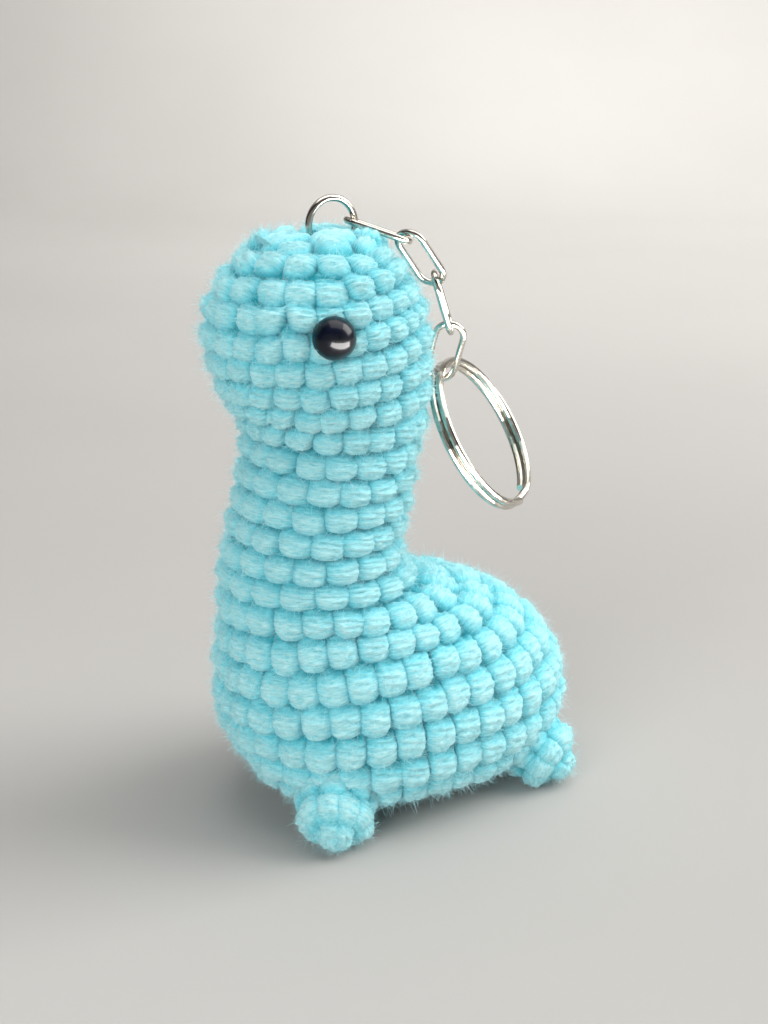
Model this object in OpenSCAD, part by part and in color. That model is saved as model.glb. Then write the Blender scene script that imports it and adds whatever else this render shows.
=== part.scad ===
// Crocheted long-necked animal keychain: a stuffed yarn body on four bobble feet,
// safety eyes with washers inside, and a jump ring, a four-link chain and a split key ring.
// Frame: +Z up, -Y the way the animal faces, +X its left side. The origin is on the
// surface that it stands on, halfway along and across the figure.

/* [Plush] */
// Height of the crocheted figure, ground to crown
plush_h = 89.2; // [84:0.1:94]
// Length of the figure, muzzle to rump
body_l = 58.8; // [56:0.1:62]
// Width of the body at its widest
body_w = 42; // [38:1:46]
// Width of the neck at its narrowest
neck_w = 27; // [24:1:29]
// Width of the head at its widest
head_w = 30; // [28:1:33]
// Thickness of the crocheted fabric
fabric_t = 2.6; // [2:0.1:3]
// Diameter of one bobble foot
foot_d = 12; // [10:0.5:13]

/* [Eyes] */
// Diameter of a safety eye
eye_d = 6; // [6:0.5:8]
// Diameter of the locking washer inside the head
washer_d = 9; // [8:0.5:10]

/* [Metal] */
// Outside diameter of the split key ring
key_ring_d = 25; // [24:0.5:26]
// Wire diameter of one turn of the split key ring
key_wire_d = 1.2; // [1:0.1:1.4]
// Length of one chain link over its ends
link_l = 10.4; // [10.2:0.1:10.6]
// Width of one chain link
link_w = 5.2; // [4.8:0.1:5.4]
// Wire diameter of the links and the jump ring
link_wire_d = 1; // [0.9:0.05:1.05]
// Outside diameter of the jump ring in the crown
jump_ring_d = 8.5; // [8:0.25:9]

/* [Hidden] */
LINKS = 4;

RING_SIDES = 40;      // points round one level of the skin
SKIN_STEPS = 2;       // levels from one station to the next
RING_STEPS = 100;     // lengths of wire in the split ring
WIRE_SIDES = 12;      // points round the split ring's wire
FIT = 0.15;           // gap round the jump ring in the fabric
CONTACT = 0.02;       // hairline left between pieces that touch

foot_r = foot_d / 2;
foot_sink = 0.45;     // how far the weight flattens a foot
// The feet are sewn on by hand: the front right one sits further in and back.
foot_front_left = [0.319 * body_w, -0.309 * body_l];
foot_front_right = [-0.274 * body_w, -0.177 * body_l];
foot_rear_left = [0.319 * body_w, 0.323 * body_l];
foot_rear_right = [-0.319 * body_w, 0.323 * body_l];

eye_pos = [0.445 * head_w, -0.301 * body_l, 0.852 * plush_h];
eye_dir = [0.93, -0.30, 0.20];
eye_r = eye_d / 2;
eye_rise = 0.55 * eye_d;    // height of the dome over its flat back
stem_r = 1.4;
stem_l = fabric_t + 3.4;
washer_t = 1.2;
washer_at = fabric_t + 0.9; // depth of the washer's outer face behind the dome

link_r = link_wire_d / 2;
key_r = key_wire_d / 2;
jump_r = (jump_ring_d - link_wire_d) / 2;
jump_centre = [0, -10.1, plush_h];

// Where each link hooks into the wire before it (jump ring, then links 1 to 4), with
// heights measured from the crown
hook_places = [
    [0.0, -6.4, 0.1],
    [4.6, 0.0, -2.5],
    [4.7, 4.7, -8.8],
    [4.3, 7.6, -16.3],
    [1.3, 7.4, -24.0]
];
hooks = [for (place = hook_places) place + [0, 0, plush_h]];
// Direction that the flat of each link faces
link_faces = [[0.14, 0.35, 0.93], [0.30, -0.93, 0.20], [0.55, 0.81, 0.20], [0.86, -0.50, 0.10]];
// Direction from the last link to the key ring's centre, and the way the ring faces
key_hang = [0.30, 0.44, -0.85];
key_face = [0.69, 0.51, 0.51];
key_mid_r = (key_ring_d - key_wire_d) / 2;
key_seat = key_wire_d + link_r + 0.15;    // both turns of the ring above the link's bend
key_rise = key_r + CONTACT / 2;           // each turn's level over and under the middle
key_step = 12;        // half the angle in which the wire steps from one turn to the other
key_gap = 2;          // angle left between the step and each loose end
key_centre = hooks[LINKS] - key_seat * unit(hooks[LINKS] - hooks[LINKS - 1])
             + key_mid_r * unit(key_hang);

// ---- Crocheted skin ---------------------------------------------------------

// Stations up the figure: height, front edge, back edge, half width, squareness.
function stations() = [
    [0.027 * plush_h, -0.289 * body_l,  0.310 * body_l, 0.262 * body_w, 2.3],
    [0.043 * plush_h, -0.354 * body_l,  0.388 * body_l, 0.376 * body_w, 2.3],
    [0.090 * plush_h, -0.425 * body_l,  0.466 * body_l, 0.471 * body_w, 2.3],
    [0.168 * plush_h, -0.480 * body_l,  0.500 * body_l, 0.500 * body_w, 2.3],
    [0.247 * plush_h, -0.492 * body_l,  0.463 * body_l, 0.490 * body_w, 2.2],
    [0.320 * plush_h, -0.486 * body_l,  0.367 * body_l, 0.452 * body_w, 2.1],
    [0.372 * plush_h, -0.483 * body_l,  0.214 * body_l, 0.400 * body_w, 2.0],
    [0.408 * plush_h, -0.480 * body_l,  0.061 * body_l, 0.362 * body_w, 2.0],
    [0.454 * plush_h, -0.471 * body_l, -0.014 * body_l, 0.519 * neck_w, 2.0],
    [0.538 * plush_h, -0.442 * body_l,  0.010 * body_l, 0.500 * neck_w, 2.0],
    [0.628 * plush_h, -0.412 * body_l,  0.034 * body_l, 0.500 * neck_w, 2.0],
    [0.684 * plush_h, -0.408 * body_l,  0.056 * body_l, 0.463 * head_w, 2.0],
    [0.740 * plush_h, -0.459 * body_l,  0.070 * body_l, 0.487 * head_w, 2.0],
    [0.807 * plush_h, -0.500 * body_l,  0.071 * body_l, 0.500 * head_w, 2.0],
    [0.874 * plush_h, -0.498 * body_l,  0.053 * body_l, 0.477 * head_w, 2.0],
    [0.942 * plush_h, -0.442 * body_l, -0.007 * body_l, 0.397 * head_w, 2.0],
    [0.988 * plush_h, -0.345 * body_l, -0.092 * body_l, 0.260 * head_w, 2.0]
];

// Catmull-Rom curve between the stations p1 and p2
function curve(p0, p1, p2, p3, t) =
    0.5 * (2 * p1 + (p2 - p0) * t + (2 * p0 - 5 * p1 + 4 * p2 - p3) * t * t
           + (3 * p1 - p0 - 3 * p2 + p3) * t * t * t);

function smooth(s, steps) = let (last = len(s) - 1) [
    for (i = [0 : last - 1])
        for (k = [0 : steps - 1])
            curve(s[max(i - 1, 0)], s[i], s[i + 1], s[min(i + 2, last)], k / steps),
    s[last]
];

function column(levels, k) = [for (s = levels) [s[0], s[k]]];

// The levels moved inwards by the wall thickness t, sideways and up and down
function inset(levels, t) =
    let (low = levels[0][0] + t, high = levels[len(levels) - 1][0] - 0.6 * t,
         front = column(levels, 1), back = column(levels, 2), half = column(levels, 3),
         reach = 0.8 * t, lean = 0.3 * t)    // the wall also grows where the skin leans
    [for (s = levels) if (s[0] > low && s[0] < high)
        let (up = s[0] + reach, down = s[0] - reach)
        [s[0],
         max(s[1] + t, lookup(up, front) + lean, lookup(down, front) + lean),
         min(s[2] - t, lookup(up, back) - lean, lookup(down, back) - lean),
         min(s[3] - t, lookup(up, half) - lean, lookup(down, half) - lean),
         s[4]]];

// Point of a level at the angle a: a superellipse about the vertical
function level_point(s, a) =
    let (c = cos(a), q = sin(a), p = 2 / s[4])
    [s[3] * sign(c) * pow(abs(c), p),
     (s[1] + s[2]) / 2 + (s[2] - s[1]) / 2 * sign(q) * pow(abs(q), p),
     s[0]];

function level_middle(s, rise) = [0, (s[1] + s[2]) / 2, s[0] + rise];

// Closed solid through the levels, with a low cone of height cap at each end
module skin(levels, cap) {
    n = len(levels);
    sides = RING_SIDES;
    bottom = n * sides;
    top = bottom + 1;
    points = concat(
        [for (s = levels) for (j = [0 : sides - 1]) level_point(s, 360 * j / sides)],
        [level_middle(levels[0], -cap), level_middle(levels[n - 1], cap)]);
    walls = [for (k = [0 : n - 2]) for (j = [0 : sides - 1])
        let (a = k * sides + j, b = k * sides + (j + 1) % sides)
        each [[a, a + sides, b + sides], [a, b + sides, b]]];
    ends = [for (j = [0 : sides - 1])
        let (next = (j + 1) % sides, high = (n - 1) * sides)
        each [[j, next, bottom], [high + next, high + j, top]]];
    polyhedron(points, concat(walls, ends), convexity = 6);
}

module outer_form() {
    skin(smooth(stations(), SKIN_STEPS), 0.8);
}

module inner_form(t) {
    skin(inset(smooth(stations(), SKIN_STEPS), t), 0.2);
}

// ---- Placing ----------------------------------------------------------------

function unit(v) = v / norm(v);

// Moves children so that +Z points along dir, +X as near as it can to hint, origin at pos
module along(pos, dir, hint) {
    z = unit(dir);
    y = unit(cross(z, hint));
    x = cross(y, z);
    multmatrix([[x[0], y[0], z[0], pos[0]], [x[1], y[1], z[1], pos[1]],
                [x[2], y[2], z[2], pos[2]], [0, 0, 0, 1]])
        children();
}

module torus(r, wire_r) {
    rotate_extrude($fn = 64) translate([r, 0]) circle(wire_r, $fn = 24);
}

// ---- Feet -------------------------------------------------------------------

// Bobble of yarn, flattened on the ground and sewn against the belly
module foot(place) {
    color("paleturquoise") difference() {
        translate([place[0], place[1], foot_r - foot_sink]) sphere(foot_r, $fn = 32);
        translate([place[0], place[1], -foot_r]) cube(2 * foot_r, center = true);
        outer_form();
    }
}

// ---- Eyes -------------------------------------------------------------------

module at_eye(side) {
    mirror([side < 0 ? 1 : 0, 0, 0]) along(eye_pos, eye_dir, [0, 0, 1]) children();
}

// Half outline of the eye: barbed stem below, domed front above
module eye_outline() {
    union() {
        intersection() {
            translate([0, eye_rise - eye_r]) circle(eye_r, $fn = 64);
            translate([0, 0.02]) square([eye_r, eye_rise]);
        }
        translate([0, -stem_l]) square([stem_r, stem_l + 0.5]);
    }
}

module eye(side) {
    color("black") at_eye(side) rotate_extrude($fn = 64) eye_outline();
}

// Room for the eye in the fabric: the stem's hole and a flat seat for the dome
module eye_seat(side) {
    at_eye(side) {
        translate([0, 0, -stem_l - 1]) cylinder(r = stem_r + CONTACT, h = stem_l + 1.5, $fn = 64);
        cylinder(r = eye_r + CONTACT, h = 2 * eye_r, $fn = 48);
    }
}

module washer(side) {
    color("whitesmoke") at_eye(side) translate([0, 0, -washer_at - washer_t]) difference() {
        cylinder(d = washer_d, h = washer_t, $fn = 48);
        translate([0, 0, -1]) cylinder(r = stem_r + CONTACT, h = washer_t + 2, $fn = 64);
    }
}

// Room for the washer and the end of the stem in the stuffing
module washer_room(side) {
    at_eye(side) translate([0, 0, -stem_l - 0.5])
        cylinder(d = washer_d + 0.4, h = stem_l + 4, $fn = 48);
}

// ---- Shell and stuffing -----------------------------------------------------

module jump_ring_channel() {
    translate(jump_centre) rotate([0, 90, 0]) torus(jump_r, link_r + FIT);
}

module crochet_shell() {
    color("mediumturquoise") difference() {
        outer_form();
        inner_form(fabric_t);
        jump_ring_channel();
        for (side = [-1, 1]) eye_seat(side);
    }
}

module fibre_stuffing() {
    color("white") difference() {
        inner_form(fabric_t + 0.15);
        jump_ring_channel();
        for (side = [-1, 1]) washer_room(side);
    }
}

// ---- Jump ring, chain and key ring ------------------------------------------

module jump_ring() {
    color("silver") translate(jump_centre) rotate([0, 90, 0]) torus(jump_r, link_r);
}

// Oval of round wire, long along Z, with its flat sides facing X
module oval_link() {
    bend_r = (link_w - link_wire_d) / 2;
    straight = link_l - link_w;
    for (end = [-1, 1])
        translate([0, 0, end * straight / 2]) rotate([0, 90, 0]) rotate([0, 0, end > 0 ? 90 : -90])
            rotate_extrude(angle = 180, $fn = 48) translate([bend_r, 0]) circle(link_r, $fn = 24);
    for (side = [-1, 1])
        translate([0, side * bend_r, -straight / 2]) cylinder(r = link_r, h = straight, $fn = 24);
}

// Link i, hooked over the wire at hooks[i - 1] and ending with its far bend at hooks[i]
module chain_link(i) {
    run = unit(hooks[i] - hooks[i - 1]);
    centre = hooks[i] - run * (link_l - link_wire_d) / 2;
    color("silver") along(centre, run, link_faces[i - 1]) oval_link();
}

// Level of the split ring's wire after the angle a: it crosses over after one turn
function ring_level(a) =
    let (t = max(-1, min(1, (a - 360) / key_step)))
    key_rise * (3 * t - t * t * t) / 2;

function ring_section(a) = [
    for (j = [0 : WIRE_SIDES - 1])
        let (t = 360 * j / WIRE_SIDES, r = key_mid_r + key_r * cos(t))
        [r * cos(a), r * sin(a), ring_level(a) + key_r * sin(t)]
];

// Two turns of one wire, with its two loose ends on either side of the step
module split_ring() {
    first = key_step + key_gap;
    last = 720 - first;
    points = [for (i = [0 : RING_STEPS]) each ring_section(first + (last - first) * i / RING_STEPS)];
    sides = [for (i = [0 : RING_STEPS - 1]) for (j = [0 : WIRE_SIDES - 1])
        let (a = i * WIRE_SIDES + j, b = i * WIRE_SIDES + (j + 1) % WIRE_SIDES)
        each [[a, b + WIRE_SIDES, a + WIRE_SIDES], [a, b, b + WIRE_SIDES]]];
    ends = [[for (j = [WIRE_SIDES - 1 : -1 : 0]) j],
            [for (j = [0 : WIRE_SIDES - 1]) RING_STEPS * WIRE_SIDES + j]];
    color("silver") along(key_centre, key_face, key_hang)
        polyhedron(points, concat(sides, ends), convexity = 6);
}

crochet_shell();
fibre_stuffing();
foot(foot_front_left);
foot(foot_front_right);
foot(foot_rear_left);
foot(foot_rear_right);
eye(1);  // eye_left
eye(-1);  // eye_right
washer(1);  // washer_left
washer(-1);  // washer_right
jump_ring();
for (i = [1 : LINKS])
    chain_link(i);
split_ring();
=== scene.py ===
"""Looks of the crocheted plush keychain: yarn stitches, eyes, nickel chain, floor and soft light.

Metres, +Z up. The animal faces -Y and its left side is +X.
"""

import math

import bpy
import numpy as np
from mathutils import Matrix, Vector
from mathutils.bvhtree import BVHTree


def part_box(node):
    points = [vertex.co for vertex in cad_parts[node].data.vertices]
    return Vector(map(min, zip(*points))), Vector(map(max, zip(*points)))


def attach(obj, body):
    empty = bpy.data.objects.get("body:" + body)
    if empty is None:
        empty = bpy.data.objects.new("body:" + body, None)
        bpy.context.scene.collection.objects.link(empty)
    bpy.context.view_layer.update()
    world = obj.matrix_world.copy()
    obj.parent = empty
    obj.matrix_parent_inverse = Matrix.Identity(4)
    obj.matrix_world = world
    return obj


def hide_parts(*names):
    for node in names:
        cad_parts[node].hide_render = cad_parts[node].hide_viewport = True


MM = 0.001
SEED = 41

# The skin is worked in rows from the middle of the belly to the crown. Each list holds one
# count of stitches for each row, from the lowest row up.
BELLY_STITCHES = [10, 20, 30]
BODY_STITCHES = [34, 34, 34, 34, 33, 30, 26, 22]
NECK_STITCHES = [17, 17, 17, 17, 17]
HEAD_STITCHES = [18, 20, 22, 24, 24, 24, 22, 18, 14]
CROWN_STITCHES = [9, 5]
FOOT_STITCHES = [5, 9, 8]
BELLY_ROWS = len(BELLY_STITCHES)
BODY_ROWS = len(BODY_STITCHES)
NECK_ROWS = len(NECK_STITCHES)
HEAD_ROWS = len(HEAD_STITCHES)
CROWN_ROWS = len(CROWN_STITCHES)
RIM_LOW = 2.6 * MM          # height where the belly turns into the sides
NECK_BASE = 37.5 * MM       # height where the neck leaves the body
RIM_HIGH = 87.6 * MM        # height where the sides turn into the crown
HEAD_TILT = 0.45            # the head's rows rise by this share of a row at the front

STITCH_DEPTH = 2.5 * MM     # from the crease between stitches to the top of a stitch
SKIN_SINK = 2.1 * MM        # the crease lies this far inside the skin
FOOT_DEPTH = 2.4 * MM       # the same two measures on a foot
FOOT_SINK = 1.8 * MM
BACKING_SINK = 1.9 * MM     # the backing cloth lies this far inside the skin
ROW_SHIFT = 0.33            # each upper row starts this share of a stitch further round
SHIFT_ROW = 8               # the rows start to shift at this row
ROUGH_ROW = 20              # from this row up the stitches sit less evenly
STITCH_ACROSS = 17          # points across a stitch
STITCH_ALONG = 33           # points along a stitch

FIBRES_PER_STITCH = 260     # loose fibres on the skin
FIBRES_PER_FOOT = 3000
FIBRE_LENGTH = 1.2 * MM     # the longest loose fibres
FIBRE_WIDTH = 0.019 * MM    # half the width of a loose fibre at its root
TABLE_GAP = 0.01 * MM       # what rests on the table stays this far above it

# The yarn colours, from the lowest to the highest parts of a stitch: painted shade in the creases, the
# yarn's own colour, then a painted highlight on the tops.
YARN_CREASE_SHADE = (0.015, 0.420, 0.520, 1)
YARN_BODY = (0.195, 0.760, 0.870, 1)
YARN_TOP_HIGHLIGHT = (0.440, 0.880, 0.940, 1)
FIBRE_DULL = (0.32, 0.80, 0.87, 1)
FIBRE_LIGHT = (0.62, 0.95, 0.98, 1)


# ---- Small helpers -----------------------------------------------------------

def new_object(name, vertices, faces):
    mesh = bpy.data.meshes.new(name)
    mesh.from_pydata(vertices.tolist(), [], faces.tolist())
    mesh.update()
    mesh.polygons.foreach_set("use_smooth", np.ones(len(mesh.polygons), bool))
    obj = bpy.data.objects.new(name, mesh)
    bpy.context.scene.collection.objects.link(obj)
    return obj


def unit(v):
    return v / np.maximum(np.linalg.norm(v, axis=-1, keepdims=True), 1e-12)


def dot(a, b):
    return np.sum(a * b, axis=-1, keepdims=True)


def smoothstep(x):
    x = np.clip(x, 0, 1)
    return x * x * (3 - 2 * x)


# ---- Surfaces that the stitches are worked on --------------------------------

SKIN_TURNS = 144            # columns of points round the skin
SKIN_LEVELS = 120           # levels of points between its two rims
CAP_POINTS = 10             # points from the middle of an end cap to its rim
NOWHERE = np.full(3, np.nan)
EYE_REACH = 4.3 * MM        # rays that pass this near to the middle of an eye are left out
RING_CUT = 0.8 * MM         # half the width of the cut for the jump ring in the crown


class Surface:
    """A closed surface as a grid of points: turn (0 to 1, round the figure) by row (0 at the belly)."""

    def __init__(self, points, rows):
        self.points = points
        self.rows = rows
        round_step = np.roll(points, -1, 0) - np.roll(points, 1, 0)
        up_step = np.gradient(points, axis=1)
        self.normals = self.blur(unit(np.cross(round_step, up_step)))

    @staticmethod
    def blur(grid):
        for _ in range(3):
            sides = np.roll(grid, 1, 0) + np.roll(grid, -1, 0)
            grid = 0.5 * grid + 0.25 * sides
            grid[:, 1:-1] = 0.5 * grid[:, 1:-1] + 0.25 * (grid[:, 2:] + grid[:, :-2])
        return unit(grid)

    def look_up(self, grid, turn, row):
        across, up = grid.shape[:2]
        x = (turn % 1.0) * across
        y = np.clip(row / self.rows, 0, 1) * (up - 1)
        i, j = np.floor(x).astype(int), np.minimum(np.floor(y).astype(int), up - 2)
        fx, fy = (x - i)[..., None], (y - j)[..., None]
        i, k = i % across, (i + 1) % across
        low = grid[i, j] * (1 - fx) + grid[k, j] * fx
        high = grid[i, j + 1] * (1 - fx) + grid[k, j + 1] * fx
        return low * (1 - fy) + high * fy

    def even_turns(self, row):
        """The length of a row, and a function from shares of it to the turns that they lie at."""
        turns = np.linspace(0, 1, SKIN_TURNS + 1)
        points, _ = self.at(turns, np.full(len(turns), row))
        steps = np.linalg.norm(np.diff(points, axis=0), axis=1)
        length = np.concatenate([[0], np.cumsum(steps)])
        share_of = length / length[-1]
        return length[-1], lambda share: np.floor(share) + np.interp(share % 1.0, share_of, turns)

    def spots(self, share, row, reach):
        """Where the stitches at these shares of a row sit: middle, normal, sideways, up, the row's
        length and height there, and how much the skin curves sideways and up."""
        length, turn_at = self.even_turns(row)
        turn = turn_at(share)
        middle, normal = self.at(turn, np.full(len(turn), row))
        left, left_normal = self.at(turn_at(share - reach), np.full(len(turn), row))
        right, right_normal = self.at(turn_at(share + reach), np.full(len(turn), row))
        low, low_normal = self.at(turn, np.full(len(turn), row - 0.5))
        high, high_normal = self.at(turn, np.full(len(turn), row + 0.5))
        side = unit(right - left)
        side = unit(side - normal * dot(side, normal))
        up = np.cross(normal, side)
        tall = dot(high - low, up)
        bend_side = dot(right_normal - left_normal, side) / dot(right - left, side)
        bend_up = dot(high_normal - low_normal, up) / tall
        lengths = np.full((len(turn), 1), length)
        return middle, normal, side, up, lengths, tall, bend_side, bend_up

    def at(self, turn, row):
        return self.look_up(self.points, turn, row), unit(self.look_up(self.normals, turn, row))


def skin_surface(shell, eyes):
    """The outer skin of the figure, found by casting rays at the shell from outside."""
    mesh = shell.data
    tree = BVHTree.FromPolygons([v.co for v in mesh.vertices], [p.vertices for p in mesh.polygons])
    far = 0.1
    aside = 1.1 * MM            # clear of the cut for the jump ring

    def hit(origin, direction):
        origin = np.array(origin, float)
        for eye in eyes:
            if (origin[0] * eye[0] > 0
                    and np.linalg.norm(np.cross(eye - origin, direction)) < EYE_REACH):
                return NOWHERE
        if direction[2] < 0 and abs(origin[0]) < RING_CUT:
            return NOWHERE
        return np.array(tree.ray_cast(Vector(origin), Vector(direction))[0])

    def middle(z):
        front = hit((aside, -far, z), (0, 1, 0))
        back = hit((aside, far, z), (0, -1, 0))
        return (front[1] + back[1]) / 2

    heights = np.linspace(RIM_LOW, RIM_HIGH, SKIN_LEVELS)
    centres = [middle(z) for z in heights]
    columns = []
    for i in range(SKIN_TURNS):
        angle = 2 * math.pi * (i + 0.3) / SKIN_TURNS    # between the corners of the shell's levels
        out = np.array([math.cos(angle), math.sin(angle), 0])
        sides = [hit(np.array([0, y, z]) + far * out, -out) for y, z in zip(centres, heights)]
        column = np.array(cap(hit, sides[0], centres[0], -1) + sides
                          + cap(hit, sides[-1], centres[-1], 1)[::-1])
        columns.append(bridge_gaps(column))
    neck_level = int(SKIN_LEVELS * (NECK_BASE - RIM_LOW) / (RIM_HIGH - RIM_LOW))
    top_rim = CAP_POINTS + SKIN_LEVELS - 1
    marks = [0, CAP_POINTS, CAP_POINTS + neck_level, top_rim, top_rim + CAP_POINTS]
    return by_rows(np.array(columns), marks,
                   [BELLY_ROWS, BODY_ROWS, NECK_ROWS + HEAD_ROWS, CROWN_ROWS])


def bridge_gaps(column):
    """The column of points carried straight over those that are nowhere."""
    good = np.isfinite(column[:, 0])
    index = np.arange(len(column))
    return np.stack([np.interp(index, index[good], column[good, k]) for k in range(3)], -1)


def cap(hit, rim, centre_y, side):
    """Points from the middle of an end cap towards the rim of the figure."""
    middle = np.array([0, centre_y, 0])
    spoke = rim * np.array([1, 1, 0]) - middle
    points = []
    for k in range(CAP_POINTS):
        above = middle + spoke * k / CAP_POINTS + np.array([0, 0, side * 0.1 + 0.05])
        points.append(hit(above, (0, 0, -side)))
    return points


def head_tilt(row):
    """How far a row rises at the front, in rows: only the head's rows do."""
    first = BELLY_ROWS + BODY_ROWS + NECK_ROWS
    return HEAD_TILT * smoothstep((row - first) / 3) * (1 - smoothstep((row - first - 5) / 5))


def by_rows(columns, marks, counts):
    """Columns of points resampled so that each row of stitches takes an equal length of skin."""
    per_row = 8
    total = sum(counts)
    edges = np.concatenate([[0], np.cumsum(counts)])
    wanted = np.linspace(0, total, total * per_row + 1)
    grid = np.zeros((len(columns), len(wanted), 3))
    for i, column in enumerate(columns):
        steps = np.linalg.norm(np.diff(column, axis=0), axis=1)
        length = np.concatenate([[0], np.cumsum(steps)])
        front = -math.sin(2 * math.pi * i / len(columns))
        place = np.interp(wanted - head_tilt(wanted) * front, edges, length[marks])
        for axis in range(3):
            grid[i, :, axis] = np.interp(place, length, column[:, axis])
    for _ in range(3):
        grid = 0.5 * grid + 0.25 * (np.roll(grid, 1, 0) + np.roll(grid, -1, 0))
    grid[:, -1] = grid[:, -1].mean(0)
    return Surface(grid, total)


def foot_surface(foot, rows):
    """The ball of one foot, worked in rounds from a pole that faces out, down and to its end."""
    low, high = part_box(foot)
    radius = (high.x - low.x) / 2
    centre = np.array([(low.x + high.x) / 2, (low.y + high.y) / 2, radius - 0.4 * MM])
    pole = unit(np.array([0.75 * np.sign(centre[0]), 0.50 * np.sign(centre[1]), -0.45]))
    side = unit(np.cross(pole, [0, 0, 1]))
    turn = np.arange(48) / 48 * 2 * math.pi
    lift = np.linspace(0, 0.80 * math.pi, rows * 8 + 1)
    a, e = (grid[..., None] for grid in np.meshgrid(turn, lift, indexing="ij"))
    ball = np.cos(e) * pole + np.sin(e) * (np.cos(a) * side + np.sin(a) * np.cross(side, pole))
    return Surface(centre + radius * ball, rows)


# ---- Stitches ----------------------------------------------------------------

def stitch_shape(s, t, tilt, wave):
    """Height of a stitch over its crease (0 to about 1): s across and t along, both -1 to 1.

    It narrows towards its top, falls off at both sides, ends below in a scalloped lip, slopes in
    under the row above, has a small hole at its upper corner, and shows the yarn's strands.
    """
    narrow = 1 - 0.24 * smoothstep((t + 0.05) / 0.9)
    across = np.clip(np.abs(s - 0.10 * tilt * t) / narrow, 0, 1)
    sides = 1 - 0.42 * across ** 4 - 0.58 * across ** 16
    scallop = 0.22 * np.abs(s) ** 3
    lip = np.sqrt(1 - np.clip((-0.40 - t + scallop) / 0.60, 0, 1) ** 2.2)
    taper = 1 - 0.72 * smoothstep((t + 0.35) / 1.15)
    hole = 0.42 * np.exp(-((s - 0.42) / 0.28) ** 2 - ((t - 0.50) / 0.22) ** 2)
    strands = 0.055 * np.sin(2 * math.pi * (3.4 * t + 0.45 * s + wave) + 1.2 * s * s)
    return sides * lip * (taper + 0.14 * tilt * s - hole * (0.6 + 0.4 * tilt) + strands)


def fibre_relief(grain, table):
    """Smooth random bumps, long across the stitch and short along it, between about -1 and 1."""
    total = 0
    for across, along, share in ((1.3, 0.42, 0.5), (0.6, 0.20, 0.5)):
        x, y = grain[..., 0] / across, grain[..., 1] / along
        i, j = np.floor(x).astype(int), np.floor(y).astype(int)
        fx, fy = smoothstep(x - i), smoothstep(y - j)
        n = len(table)
        low = table[i % n, j % n] * (1 - fx) + table[(i + 1) % n, j % n] * fx
        high = table[i % n, (j + 1) % n] * (1 - fx) + table[(i + 1) % n, (j + 1) % n] * fx
        total = total + share * (low * (1 - fy) + high * fy)
    return total


def stitches(surface, row_counts, rng, first_row, depth=STITCH_DEPTH, sink=SKIN_SINK):
    """Vertices, faces, fibre coordinates and height of all the stitches in some rows."""
    s, t = np.meshgrid(np.linspace(-1, 1, STITCH_ACROSS), np.linspace(-1, 1, STITCH_ALONG))
    table = rng.uniform(-1, 1, (128, 128))
    parts = []
    for k, count in enumerate(row_counts):
        row = first_row + k + 0.5
        shift = ROW_SHIFT * max(0, row - SHIFT_ROW)
        share = (np.arange(count) + shift + rng.uniform(-0.06, 0.06, count)) / count
        uneven = 1 + 1.8 * smoothstep((row - ROUGH_ROW) / 4)
        for spot in zip(*surface.spots(share, row, 0.25 / count)):
            centre, normal, side, up, width, tall, bend_side, bend_up = spot
            grain = np.stack([2.4 * s + 40 * rng.uniform(), 2.6 * t + 40 * rng.uniform()], -1)
            height = stitch_shape(s, t, rng.uniform(-1, 1), rng.uniform(0, 1))
            height = height + 0.17 * fibre_relief(grain, table) * np.clip(3 * height, 0, 1)
            droop = 0.16 * smoothstep((-0.1 - t) / 0.9) * (1 - 0.6 * s * s)
            x = 0.5 * width / count * rng.uniform(1.06, 1.15) * s
            y = tall * (0.5 * rng.uniform(1.18, 1.30) * t - droop + uneven * rng.uniform(-0.05, 0.05))
            x = x + y * uneven * rng.uniform(-0.10, 0.10)
            rise = height * depth * (1 - uneven * rng.uniform(-0.05, 0.10)) - sink
            rise = rise - 0.5 * (bend_side * x * x + bend_up * y * y)
            points = centre + side * x[..., None] + up * y[..., None] + normal * rise[..., None]
            parts.append((points, grain, height))
    points = np.array([p[0] for p in parts]).reshape(-1, 3)
    grain = np.array([p[1] for p in parts]).reshape(-1, 2)
    height = np.array([p[2] for p in parts]).reshape(-1)
    return points, grid_faces(len(parts), STITCH_ALONG, STITCH_ACROSS), grain, height


def grid_faces(patches, rows, columns):
    i, j = np.meshgrid(np.arange(rows - 1), np.arange(columns - 1), indexing="ij")
    corner = (i * columns + j).reshape(-1)
    quad = np.stack([corner, corner + 1, corner + columns + 1, corner + columns], -1)
    starts = np.arange(patches) * rows * columns
    return (starts[:, None, None] + quad[None]).reshape(-1, 4)


def yarn_object(name, built, material):
    points, faces, grain, height = built
    obj = new_object(name, points, faces)
    mesh = obj.data
    corners = np.zeros(len(mesh.loops), np.int32)
    mesh.loops.foreach_get("vertex_index", corners)
    layer = mesh.uv_layers.new(name="grain")
    layer.data.foreach_set("uv", grain[corners].astype(np.float32).ravel())
    # The stitch height is kept for the yarn material, which paints shade into the low parts and a
    # highlight on the high ones.
    relief = mesh.attributes.new("relief", "FLOAT", "POINT")
    relief.data.foreach_set("value", height.astype(np.float32))
    mesh.materials.append(material)
    return obj


def backing(surface, name, material):
    """Plain closed cloth under the stitches, coloured dark teal as painted shade and seen only as the
    dark of the creases.
    """
    turns, rows = 96, surface.rows * 3
    turn, row = np.meshgrid(np.arange(turns + 1) / turns, np.linspace(0, surface.rows, rows + 1),
                            indexing="ij")
    base, normal = surface.at(turn, row)
    points = (base - normal * BACKING_SINK).reshape(-1, 3)
    obj = new_object(name, points, grid_faces(1, turns + 1, rows + 1))
    obj.data.materials.append(material)
    return obj


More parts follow.
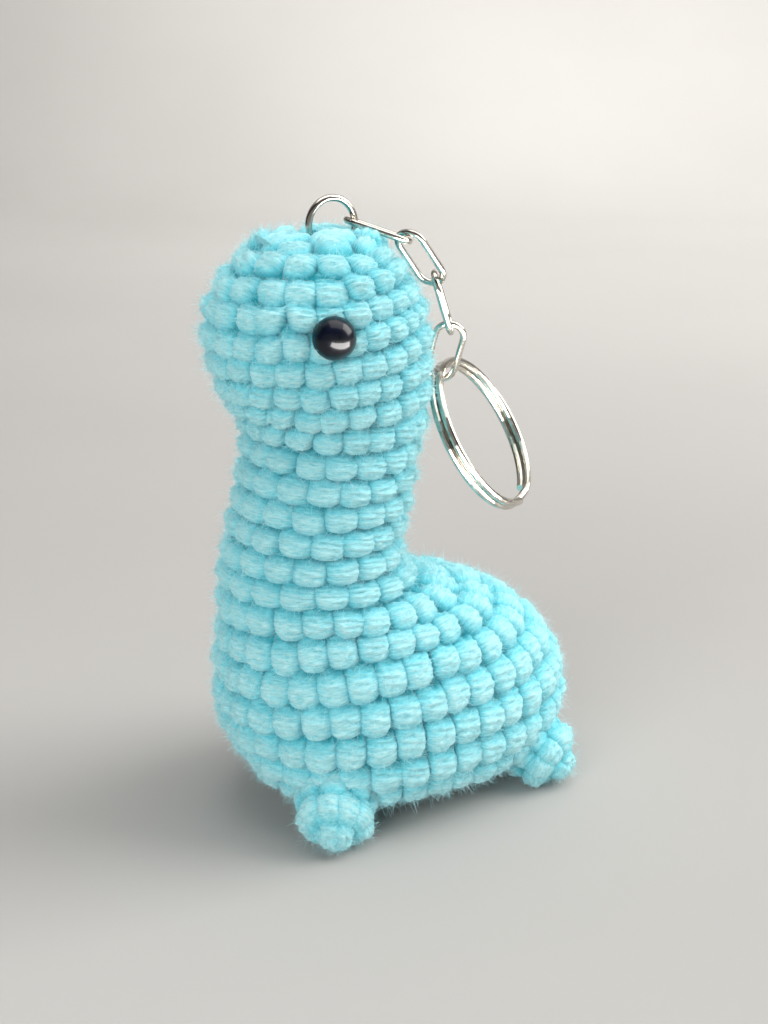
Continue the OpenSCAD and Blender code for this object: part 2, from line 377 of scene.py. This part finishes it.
def fuzz(built, rng, count, material, name):
    """Loose fibres: thin ribbons that stand and curl off the tops of the stitches."""
    points, faces, _, height = built
    sides = points[faces]
    middle = sides.mean(1)
    out = unit(np.cross(sides[:, 2] - sides[:, 0], sides[:, 3] - sides[:, 1]))
    chance = np.clip(height[faces].mean(1) - 0.25, 0, None)
    pick = rng.choice(len(faces), count, p=chance / chance.sum())
    start, normal = middle[pick], out[pick]
    sway = rng.normal(size=(count, 3))
    lean = unit(normal + 0.75 * sway)
    curl = rng.normal(size=(count, 3)) * 0.55
    length = (FIBRE_LENGTH * rng.uniform(0.3, 1.0, count) ** 1.5)[:, None]
    width = FIBRE_WIDTH * rng.uniform(0.7, 1.3, count)[:, None]
    across = unit(np.cross(lean, rng.normal(size=(count, 3))))
    knots = 2
    ribbon = []
    for k in range(knots + 1):
        share = k / knots
        centre = start + lean * length * share + curl * length * share * share
        thin = width * (1 - 0.6 * share)
        ribbon += [centre - across * thin, centre + across * thin]
    vertices = np.stack(ribbon, 1).reshape(-1, 3)
    quads = np.array([[2 * k, 2 * k + 1, 2 * k + 3, 2 * k + 2] for k in range(knots)])
    step = 2 * (knots + 1)
    faces = (np.arange(count)[:, None, None] * step + quads[None]).reshape(-1, 4)
    obj = new_object(name, vertices, faces)
    obj.data.materials.append(material)
    return obj


def keep_above_table(obj):
    """Loose fibres and stitches that reach the table lie flat on it."""
    vertices = obj.data.vertices
    places = np.zeros(3 * len(vertices), np.float32)
    vertices.foreach_get("co", places)
    places[2::3] = np.maximum(places[2::3], TABLE_GAP)
    vertices.foreach_set("co", places)


# ---- Materials ---------------------------------------------------------------

def start_material(name):
    material = bpy.data.materials.new(name)
    material.use_nodes = True
    tree = material.node_tree
    return material, tree, tree.nodes["Principled BSDF"]


def node(tree, kind, **values):
    made = tree.nodes.new(kind)
    for key, value in values.items():
        if key in made.inputs:
            made.inputs[key].default_value = value
        else:
            setattr(made, key, value)
    return made


def ramp(tree, source, stops):
    made = tree.nodes.new("ShaderNodeValToRGB")
    elements = made.color_ramp.elements
    while len(elements) < len(stops):
        elements.new(0.5)
    for element, (place, colour) in zip(elements, stops):
        element.position = place
        element.color = colour
    tree.links.new(source, made.inputs["Fac"])
    return made.outputs["Color"]


def yarn_material():
    material, tree, shader = start_material("yarn")
    link = tree.links.new
    relief = node(tree, "ShaderNodeAttribute", attribute_name="relief")
    # Painted light from the stitch height: painted shade in the creases, holes and low upper part of
    # each stitch, the yarn's own colour between, and a painted highlight on the tops.
    shade = ramp(tree, relief.outputs["Fac"],
                 [(0.25, YARN_CREASE_SHADE), (0.62, YARN_BODY), (1.0, YARN_TOP_HIGHLIGHT)])
    place = node(tree, "ShaderNodeUVMap", uv_map="grain")
    stretch = node(tree, "ShaderNodeMapping", Scale=(0.45, 2.4, 1.0), Rotation=(0, 0, -0.12))
    link(place.outputs["UV"], stretch.inputs["Vector"])
    fibre = node(tree, "ShaderNodeTexNoise", Scale=1.8, Detail=7.0, Roughness=0.68)
    link(stretch.outputs["Vector"], fibre.inputs["Vector"])
    # Fibre streaks: the noise that raises the strands in the bump below also paints the raised strands
    # lighter (painted highlight) and the low ones darker (painted shade).
    strand_light_and_shade = ramp(tree, fibre.outputs["Fac"],
                [(0.34, (0.42, 0.76, 0.80, 1)), (0.66, (1.55, 1.14, 1.08, 1))])
    mix = node(tree, "ShaderNodeMix", data_type="RGBA", blend_type="MULTIPLY", clamp_factor=True)
    mix.inputs["Factor"].default_value = 0.8
    link(shade, mix.inputs["A"])
    link(strand_light_and_shade, mix.inputs["B"])
    link(mix.outputs["Result"], shader.inputs["Base Color"])
    bump = node(tree, "ShaderNodeBump", Strength=0.9, Distance=0.35 * MM)
    link(fibre.outputs["Fac"], bump.inputs["Height"])
    link(bump.outputs["Normal"], shader.inputs["Normal"])
    shader.inputs["Roughness"].default_value = 0.9
    shader.inputs["Specular IOR Level"].default_value = 0.2
    shader.inputs["Sheen Weight"].default_value = 0.55
    shader.inputs["Sheen Roughness"].default_value = 0.45
    shader.inputs["Sheen Tint"].default_value = (0.75, 0.95, 1.0, 1)
    return material


def fuzz_material():
    material, tree, shader = start_material("yarn_fuzz")
    noise = node(tree, "ShaderNodeTexNoise", Scale=260.0, Detail=2.0)
    place = node(tree, "ShaderNodeTexCoord")
    tree.links.new(place.outputs["Object"], noise.inputs["Vector"])
    colour = ramp(tree, noise.outputs["Fac"], [(0.3, FIBRE_DULL), (0.7, FIBRE_LIGHT)])
    tree.links.new(colour, shader.inputs["Base Color"])
    shader.inputs["Roughness"].default_value = 0.8
    shader.inputs["Sheen Weight"].default_value = 0.4
    return material


def backing_shade_material():
    material, tree, shader = start_material("yarn_backing_painted_shade")
    place = node(tree, "ShaderNodeTexCoord")
    noise = node(tree, "ShaderNodeTexNoise", Scale=900.0, Detail=3.0)
    tree.links.new(place.outputs["Object"], noise.inputs["Vector"])
    # Dark teal painted shade: the cloth shows only at the bottoms of the creases, with a little random
    # tone.
    colour = ramp(tree, noise.outputs["Fac"],
                  [(0.3, (0.010, 0.17, 0.23, 1)), (0.7, (0.022, 0.27, 0.35, 1))])
    tree.links.new(colour, shader.inputs["Base Color"])
    shader.inputs["Roughness"].default_value = 1.0
    return material


def metal_material(name, colour, rough):
    material, tree, shader = start_material(name)
    link = tree.links.new
    place = node(tree, "ShaderNodeTexCoord")
    wear = node(tree, "ShaderNodeTexNoise", Scale=420.0, Detail=5.0, Roughness=0.6)
    link(place.outputs["Object"], wear.inputs["Vector"])
    dull = tuple(0.86 * c for c in colour)
    tone = ramp(tree, wear.outputs["Fac"], [(0.35, dull + (1,)), (0.6, colour + (1,))])
    link(tone, shader.inputs["Base Color"])
    gloss = node(tree, "ShaderNodeMapRange")
    gloss.inputs["To Min"].default_value = 0.7 * rough
    gloss.inputs["To Max"].default_value = 1.6 * rough
    link(wear.outputs["Fac"], gloss.inputs["Value"])
    link(gloss.outputs["Result"], shader.inputs["Roughness"])
    bump = node(tree, "ShaderNodeBump", Strength=0.12, Distance=0.03 * MM)
    link(wear.outputs["Fac"], bump.inputs["Height"])
    link(bump.outputs["Normal"], shader.inputs["Normal"])
    shader.inputs["Metallic"].default_value = 1.0
    return material


def eye_material():
    material, tree, shader = start_material("eye_gloss")
    place = node(tree, "ShaderNodeTexCoord")
    noise = node(tree, "ShaderNodeTexNoise", Scale=700.0, Detail=2.0)
    tree.links.new(place.outputs["Object"], noise.inputs["Vector"])
    colour = ramp(tree, noise.outputs["Fac"],
                  [(0.3, (0.001, 0.002, 0.006, 1)), (0.7, (0.003, 0.005, 0.016, 1))])
    tree.links.new(colour, shader.inputs["Base Color"])
    shader.inputs["Roughness"].default_value = 0.30
    shader.inputs["Specular IOR Level"].default_value = 0.15
    shader.inputs["Coat Weight"].default_value = 0.5
    shader.inputs["Coat IOR"].default_value = 1.42
    shader.inputs["Coat Roughness"].default_value = 0.03
    return material


def mottled_material(name, dark, light, scale, rough, shine=0.5):
    material, tree, shader = start_material(name)
    place = node(tree, "ShaderNodeTexCoord")
    noise = node(tree, "ShaderNodeTexNoise", Scale=scale, Detail=4.0)
    tree.links.new(place.outputs["Object"], noise.inputs["Vector"])
    colour = ramp(tree, noise.outputs["Fac"], [(0.3, dark), (0.7, light)])
    tree.links.new(colour, shader.inputs["Base Color"])
    shader.inputs["Roughness"].default_value = rough
    shader.inputs["Specular IOR Level"].default_value = shine
    return material


# ---- The figure --------------------------------------------------------------

def build_plush(nodes, rng):
    # The third material colours the backing cloth dark as painted shade for the creases.
    yarn, loose, dark = yarn_material(), fuzz_material(), backing_shade_material()
    eyes = [np.mean(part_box(name), axis=0) for name in ("eye_left", "eye_right")]
    skin = skin_surface(nodes["crochet_shell"], eyes)
    parts = {
        "belly": BELLY_STITCHES,
        "body_low": BODY_STITCHES[:4],
        "body_high": BODY_STITCHES[4:],
        "neck": NECK_STITCHES,
        "head_low": HEAD_STITCHES[:4],
        "head_high": HEAD_STITCHES[4:] + CROWN_STITCHES,
    }
    pieces = [backing(skin, "skin_backing", dark)]
    first_row = 0
    for name, counts in parts.items():
        built = stitches(skin, counts, rng, first_row)
        pieces.append(yarn_object(f"stitches_{name}", built, yarn))
        pieces.append(fuzz(built, rng, FIBRES_PER_STITCH * sum(counts), loose, f"fuzz_{name}"))
        first_row += len(counts)
    declare_yarn(pieces, "crochet_shell")
    for foot in FEET:
        build_foot(foot, rng, yarn, loose, dark)


FEET = ["foot_front_left", "foot_front_right", "foot_rear_left", "foot_rear_right"]


def build_foot(foot, rng, yarn, loose, dark):
    surface = foot_surface(foot, len(FOOT_STITCHES))
    built = stitches(surface, FOOT_STITCHES, rng, 0, depth=FOOT_DEPTH, sink=FOOT_SINK)
    points = built[0]
    points[:, 2] = np.maximum(points[:, 2], 2 * TABLE_GAP)      # the sole is pressed flat
    # The foot's backing takes the dark material, painted shade for its creases.
    declare_yarn([yarn_object(f"stitches_{foot}", built, yarn),
                  fuzz(built, rng, FIBRES_PER_FOOT, loose, f"fuzz_{foot}"),
                  backing(surface, f"backing_{foot}", dark)], foot)


def declare_yarn(pieces, replaced):
    """The pieces stand for one CAD piece of the plush body."""
    for obj in pieces:
        keep_above_table(obj)
        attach(obj, "plush")
        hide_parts(replaced)


def dress(nodes):
    """Finishes on the pieces that keep their own shape."""
    nickel = metal_material("nickel_chain", (0.64, 0.60, 0.54), 0.15)
    steel = metal_material("nickel_ring", (0.60, 0.57, 0.51), 0.18)
    eye = eye_material()
    washer = mottled_material("washer_plastic", (0.70, 0.71, 0.70, 1), (0.82, 0.82, 0.80, 1),
                              scale=500.0, rough=0.5)
    filling = mottled_material("stuffing_fibre", (0.72, 0.72, 0.70, 1), (0.88, 0.88, 0.86, 1),
                               scale=900.0, rough=1.0)
    finishes = {"jump_ring": nickel, "split_ring": steel, "eye_left": eye, "eye_right": eye,
                "washer_left": washer, "washer_right": washer, "fibre_stuffing": filling}
    finishes.update({f"chain_link_{i}": nickel for i in range(1, 5)})
    for name, material in finishes.items():
        mesh = nodes[name].data
        mesh.materials.clear()
        mesh.materials.append(material)


# ---- Room --------------------------------------------------------------------

CAMERA_BACK = (0.8065, -0.504, 0.309)       # from the object to the camera
CAMERA_DISTANCE = 0.230


def build_room():
    """A pale table that curves up into a backdrop behind the object and far in front of it."""
    away = unit(np.array([-CAMERA_BACK[0], -CAMERA_BACK[1], 0]))
    side = np.array([-away[1], away[0], 0])
    reach, bend, height = 0.75, 0.35, 1.6
    profile = [(-4.5, 3.0), (-4.4, 1.0), (-4.0, 0.3), (-3.3, 0.0), (reach, 0.0)]
    profile += [(reach + bend * math.sin(a), bend * (1 - math.cos(a)))
                for a in np.linspace(0, math.pi / 2, 13)[1:]]
    profile.append((reach + bend, height))
    spans = np.linspace(-8.0, 8.0, 17)
    points = np.array([away * x + side * w + np.array([0, 0, z]) for x, z in profile for w in spans])
    room = new_object("table_and_backdrop", points, grid_faces(1, len(profile), len(spans)))
    room.data.materials.append(mottled_material("table_paper", (0.42, 0.412, 0.40, 1),
                                                (0.46, 0.452, 0.44, 1),
                                                scale=3.0, rough=0.9, shine=0.0))


def area_light(name, position, target, size, power, colour):
    data = bpy.data.lights.new(name, "AREA")
    data.shape = "RECTANGLE"
    data.size, data.size_y = size
    data.energy = power
    data.color = colour
    lamp = bpy.data.objects.new(name, data)
    lamp.visible_camera = False
    lamp.location = position
    lamp.rotation_euler = (Vector(target) - Vector(position)).to_track_quat("-Z", "Y").to_euler()
    bpy.context.scene.collection.objects.link(lamp)
    return lamp


def build_world():
    """A room that is dim in front of the object and bright behind it."""
    world = bpy.data.worlds.new("room_light")
    world.use_nodes = True
    tree = world.node_tree
    place = node(tree, "ShaderNodeTexCoord")
    toward = node(tree, "ShaderNodeVectorMath", operation="DOT_PRODUCT")
    toward.inputs[1].default_value = (-0.55, 0.75, 0.35)
    tree.links.new(place.outputs["Generated"], toward.inputs[0])
    shade = ramp(tree, toward.outputs["Value"],
                 [(0.0, (0.05, 0.05, 0.055, 1)), (0.5, (0.95, 0.93, 0.90, 1))])
    tree.links.new(shade, tree.nodes["Background"].inputs["Color"])
    tree.nodes["Background"].inputs["Strength"].default_value = 0.9
    bpy.context.scene.world = world


def build_lights():
    """Window from behind, soft light from above, fills, and a strip low down that the eye mirrors."""
    white, warm = (1.0, 0.99, 0.98), (1.0, 0.98, 0.95)
    middle = (0, 0, 0.045)
    eye = (0.016, -0.018, 0.077)
    area_light("window", (0.30, 0.75, 0.62), middle, (0.7, 0.7), 9.5, warm)
    area_light("sky_over", (0.05, 0.10, 0.9), middle, (0.8, 0.8), 3.6, white)
    fill = area_light("front_fill", (0.60, -0.90, 0.52), middle, (0.8, 0.6), 8.6, white)
    fill.visible_glossy = False
    glow = area_light("backdrop_glow", (-0.2, 0.3, 1.2), (-0.75, 0.75, 0.15), (0.6, 0.6), 4.5, warm)
    glow.data.spread = math.radians(80)
    strip = area_light("low_strip", (0.090, -0.010, 0.032), eye, (0.20, 0.05), 0.7, warm)
    strip.visible_diffuse = False


def build_camera():
    data = bpy.data.cameras.new("camera")
    data.sensor_width = 36.0
    data.lens = 52.73
    data.clip_start = 0.01
    camera = bpy.data.objects.new("camera", data)
    target = Vector((0, -0.0014, 0.045))
    back = Vector(CAMERA_BACK)
    camera.location = target + CAMERA_DISTANCE * back
    camera.rotation_euler = back.to_track_quat("Z", "Y").to_euler()
    bpy.context.scene.collection.objects.link(camera)
    bpy.context.scene.camera = camera


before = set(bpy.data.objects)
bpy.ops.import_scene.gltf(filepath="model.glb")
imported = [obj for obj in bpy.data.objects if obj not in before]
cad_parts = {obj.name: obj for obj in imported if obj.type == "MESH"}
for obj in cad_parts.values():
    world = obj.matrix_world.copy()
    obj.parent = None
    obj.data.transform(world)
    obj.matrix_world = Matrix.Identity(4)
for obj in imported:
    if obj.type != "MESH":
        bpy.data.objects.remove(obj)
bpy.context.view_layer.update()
build_camera()
build_room()
build_world()
build_lights()
bpy.context.scene.view_settings.view_transform = "Standard"
build_plush(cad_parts, np.random.default_rng(SEED))
dress(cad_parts)
